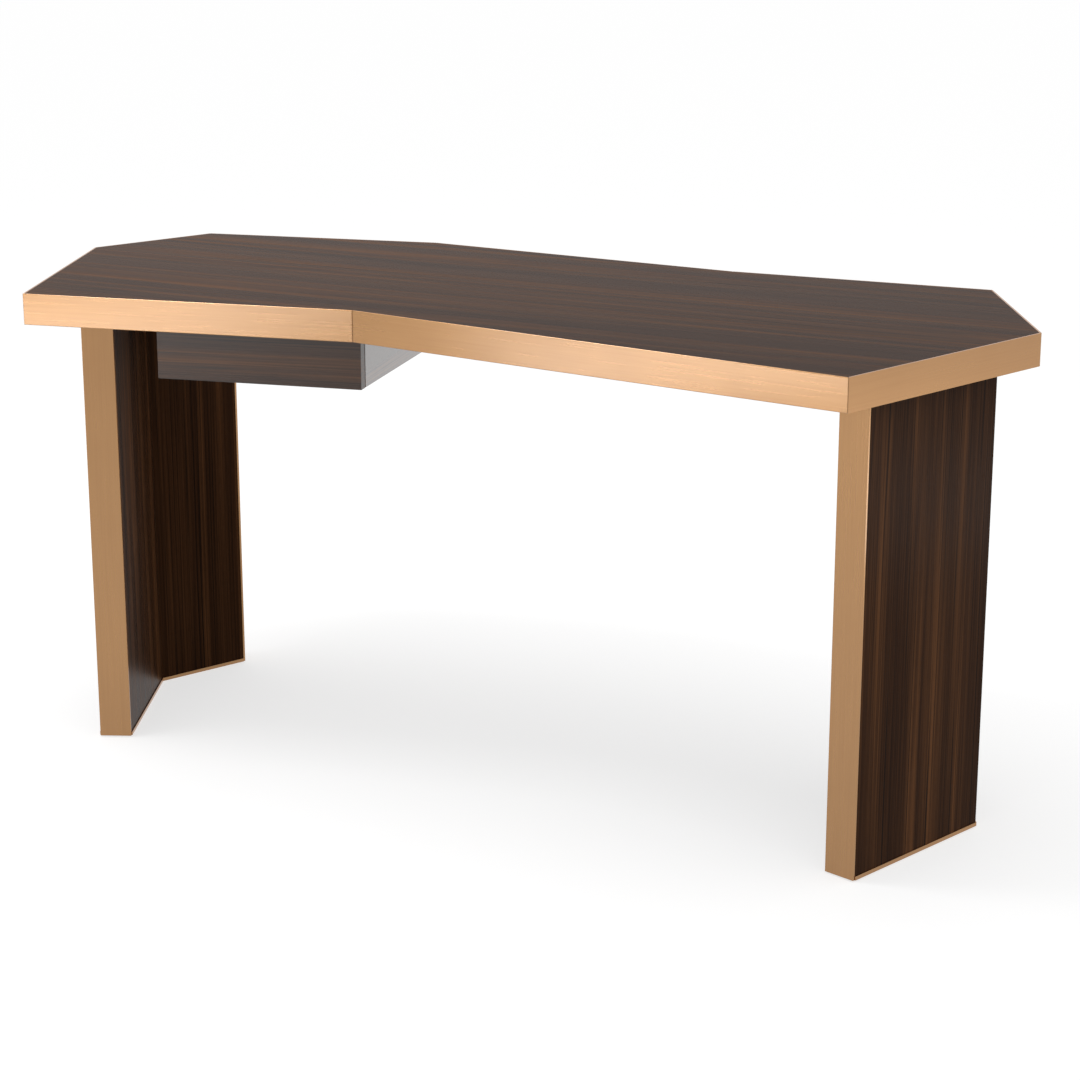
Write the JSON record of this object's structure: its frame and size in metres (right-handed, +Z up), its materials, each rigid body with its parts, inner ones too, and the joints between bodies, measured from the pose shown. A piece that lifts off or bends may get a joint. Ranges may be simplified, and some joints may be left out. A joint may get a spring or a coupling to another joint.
{
  "type": "writing desk",
  "caption": "Faceted writing desk with a dark veneered top in a brass edge band, bent slab legs with brass caps and base trims, and a push-to-open drawer hung under one end.",
  "frame": {"origin": "on the floor, under the middle of the top's bounding box", "axes": "+X along the length towards the sitter's right, +Y to the rear, +Z up"},
  "size_m": [1.71, 0.75, 0.76],
  "materials": {
    "board": "raw panel core, hidden",
    "top_veneer": "dark straight-grained veneer, satin lacquer",
    "leg_veneer": "dark straight-grained veneer, satin lacquer",
    "drawer_veneer": "dark straight-grained veneer, satin lacquer",
    "backing": "dark painted balancing sheet",
    "drawer_box": "dark stained board",
    "brass": "brushed, satin lacquered",
    "steel": "zinc plated",
    "glide": "moulded nylon",
    "latch_plastic": "moulded"
  },
  "bodies": {
    "desk": {"top_core": "board", "top_veneer": "top_veneer", "top_backing": "backing", "band_front_left": "brass", "band_front_right": "brass", "band_right_front": "brass", "band_right_rear": "brass", "band_rear_right": "brass", "band_rear_middle": "brass", "band_rear_left": "brass", "band_left_rear": "brass", "band_left_front": "brass", "left_leg_front_panel": "board", "left_leg_front_cap": "brass", "left_leg_rear_panel": "board", "left_leg_rear_cap": "brass", "left_leg_outer_veneer": "leg_veneer", "left_leg_inner_veneer": "leg_veneer", "left_leg_base_trim": "brass", "left_leg_glides": "glide", "left_leg_fixing_plate": "steel", "left_leg_fixing_screws": "steel", "right_leg_front_panel": "board", "right_leg_front_cap": "brass", "right_leg_rear_panel": "board", "right_leg_rear_cap": "brass", "right_leg_outer_veneer": "leg_veneer", "right_leg_inner_veneer": "leg_veneer", "right_leg_base_trim": "brass", "right_leg_glides": "glide", "right_leg_fixing_plate": "steel", "right_leg_fixing_screws": "steel", "case_left_side": "drawer_veneer", "case_right_side": "drawer_veneer", "case_floor": "drawer_veneer", "case_back": "drawer_veneer", "case_roof": "drawer_veneer", "case_screws": "steel", "left_runner_outer": "steel", "right_runner_outer": "steel", "latch_body": "latch_plastic"},
    "drawer": {"drawer_front": "drawer_veneer", "drawer_box_front": "drawer_box", "drawer_left_side": "drawer_box", "drawer_right_side": "drawer_box", "drawer_back": "drawer_box", "drawer_floor": "drawer_box", "drawer_front_screws": "steel", "left_runner_inner": "steel", "right_runner_inner": "steel"},
    "left_runner_slider": {"left_runner_middle": "steel"},
    "right_runner_slider": {"right_runner_middle": "steel"},
    "latch_button": {"latch_plunger": "latch_plastic"}
  },
  "joints": [
    {"name": "drawer_slide", "type": "slide", "parent": "desk", "child": "drawer", "axis": [0.21, -0.9777, 0], "range_m": [0, 0.3]},
    {"name": "left_runner_slide", "type": "slide", "parent": "desk", "child": "left_runner_slider", "axis": [0.21, -0.9777, 0], "range_m": [0, 0.15]},
    {"name": "right_runner_slide", "type": "slide", "parent": "desk", "child": "right_runner_slider", "axis": [0.21, -0.9777, 0], "range_m": [0, 0.15]},
    {"name": "latch_press", "type": "slide", "parent": "desk", "child": "latch_button", "axis": [-0.21, 0.9777, 0], "range_m": [0, 0.004], "stiffness_N_per_m": 400}
  ],
  "couplings": [
    {"joint": "left_runner_slide", "follows": "drawer_slide", "ratio": 0.5},
    {"joint": "right_runner_slide", "follows": "drawer_slide", "ratio": 0.5}
  ]
}
